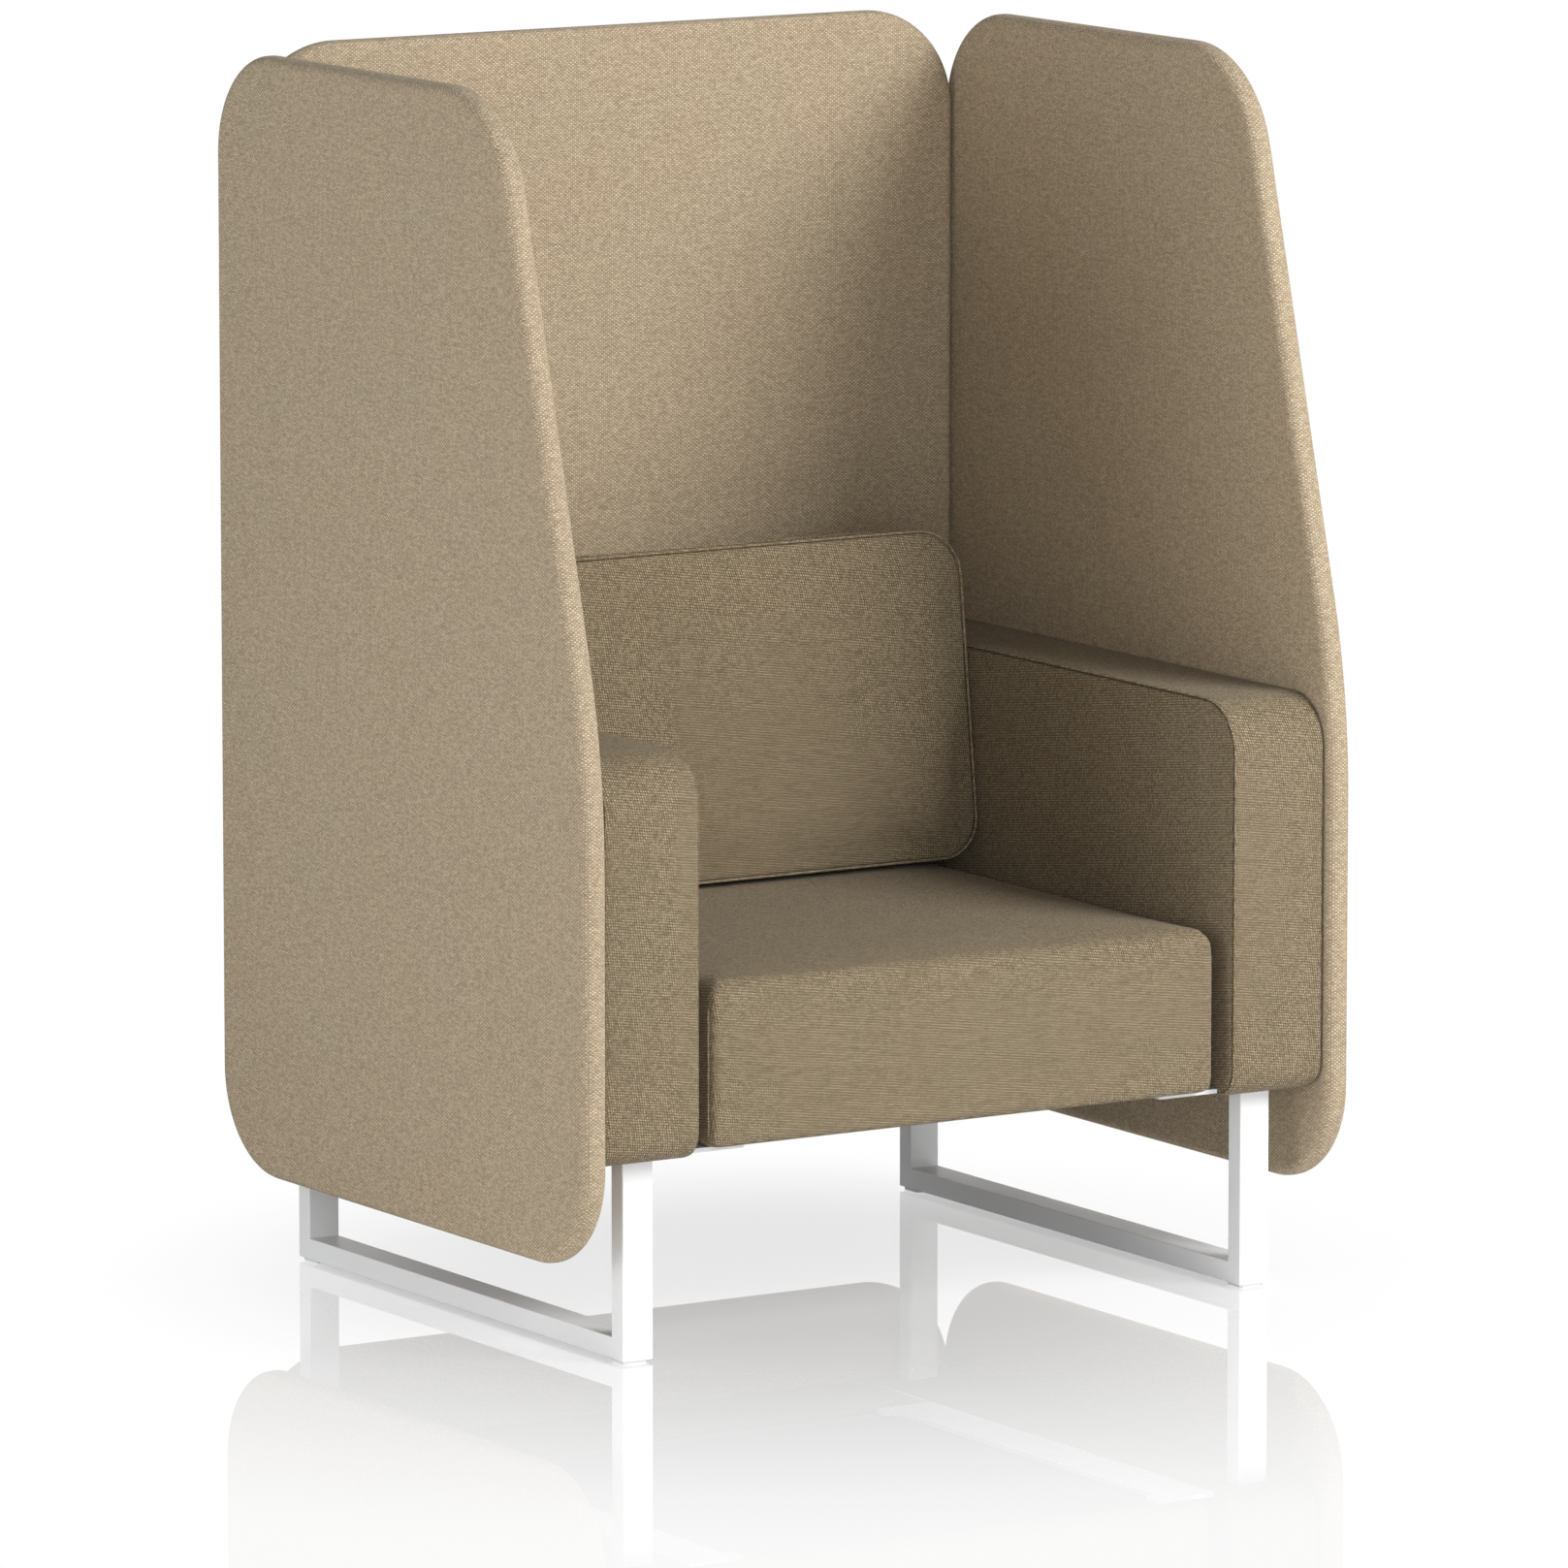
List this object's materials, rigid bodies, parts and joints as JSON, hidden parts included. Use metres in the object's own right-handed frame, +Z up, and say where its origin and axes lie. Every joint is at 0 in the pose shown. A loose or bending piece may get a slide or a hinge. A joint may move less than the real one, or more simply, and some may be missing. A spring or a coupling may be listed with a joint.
{
  "type": "privacy booth sofa",
  "caption": "High-screened upholstered armchair: padded seat, arms and loose back cushion on steel sled bases, enclosed by tall side and back screens for a quiet place to sit",
  "frame": {"origin": "on the floor, midway between the side screens and midway between their front and rear edges", "axes": "+X across the chair, to the right as seen from the front; -Y towards the open front where the sitter gets in; +Z up"},
  "size_m": [1.036, 0.832, 1.433],
  "materials": {
    "screen_fabric": "fine ribbed upholstery weave, warm beige",
    "seat_fabric": "coarse two-tone hopsack weave, darker beige",
    "frame_paint": "satin white powder coat",
    "glide_plastic": "moulded, pale",
    "zinc_steel": "zinc plated",
    "plywood": "raw birch plywood",
    "timber": "raw planed timber",
    "foam": "open-cell polyurethane foam",
    "webbing": "elastic webbing",
    "lining": "non-woven dust cloth",
    "zip_plastic": "concealed coil zip"
  },
  "bodies": {
    "root": {"left_screen_cover": "screen_fabric", "right_screen_cover": "screen_fabric", "back_screen_cover": "screen_fabric", "seat_cover": "seat_fabric", "left_arm_cover": "seat_fabric", "right_arm_cover": "seat_fabric", "back_cover": "seat_fabric", "cushion_cover": "seat_fabric", "left_sled_frame": "frame_paint", "right_sled_frame": "frame_paint", "left_seat_angle": "frame_paint", "right_seat_angle": "frame_paint", "left_front_glide": "glide_plastic", "left_rear_glide": "glide_plastic", "right_front_glide": "glide_plastic", "right_rear_glide": "glide_plastic", "leg_spigots": "zinc_steel", "left_arm_inner_board": "plywood", "right_arm_inner_board": "plywood", "left_arm_outer_board": "plywood", "right_arm_outer_board": "plywood", "left_screen_core": "plywood", "right_screen_core": "plywood", "back_screen_core": "plywood", "back_front_board": "plywood", "back_rear_board": "plywood", "left_arm_rails": "timber", "right_arm_rails": "timber", "back_rails": "timber", "seat_front_rail": "timber", "seat_rear_rail": "timber", "seat_side_rails": "timber", "seat_cross_rail": "timber", "screen_blocks": "timber", "back_blocks": "timber", "left_arm_foam": "foam", "right_arm_foam": "foam", "back_foam": "foam", "seat_foam": "foam", "cushion_foam": "foam", "left_screen_inner_foam": "foam", "left_screen_outer_foam": "foam", "right_screen_inner_foam": "foam", "right_screen_outer_foam": "foam", "back_screen_inner_foam": "foam", "back_screen_outer_foam": "foam", "seat_webbing": "webbing", "seat_dust_cover": "lining", "cushion_zip": "zip_plastic"}
  },
  "joints": []
}
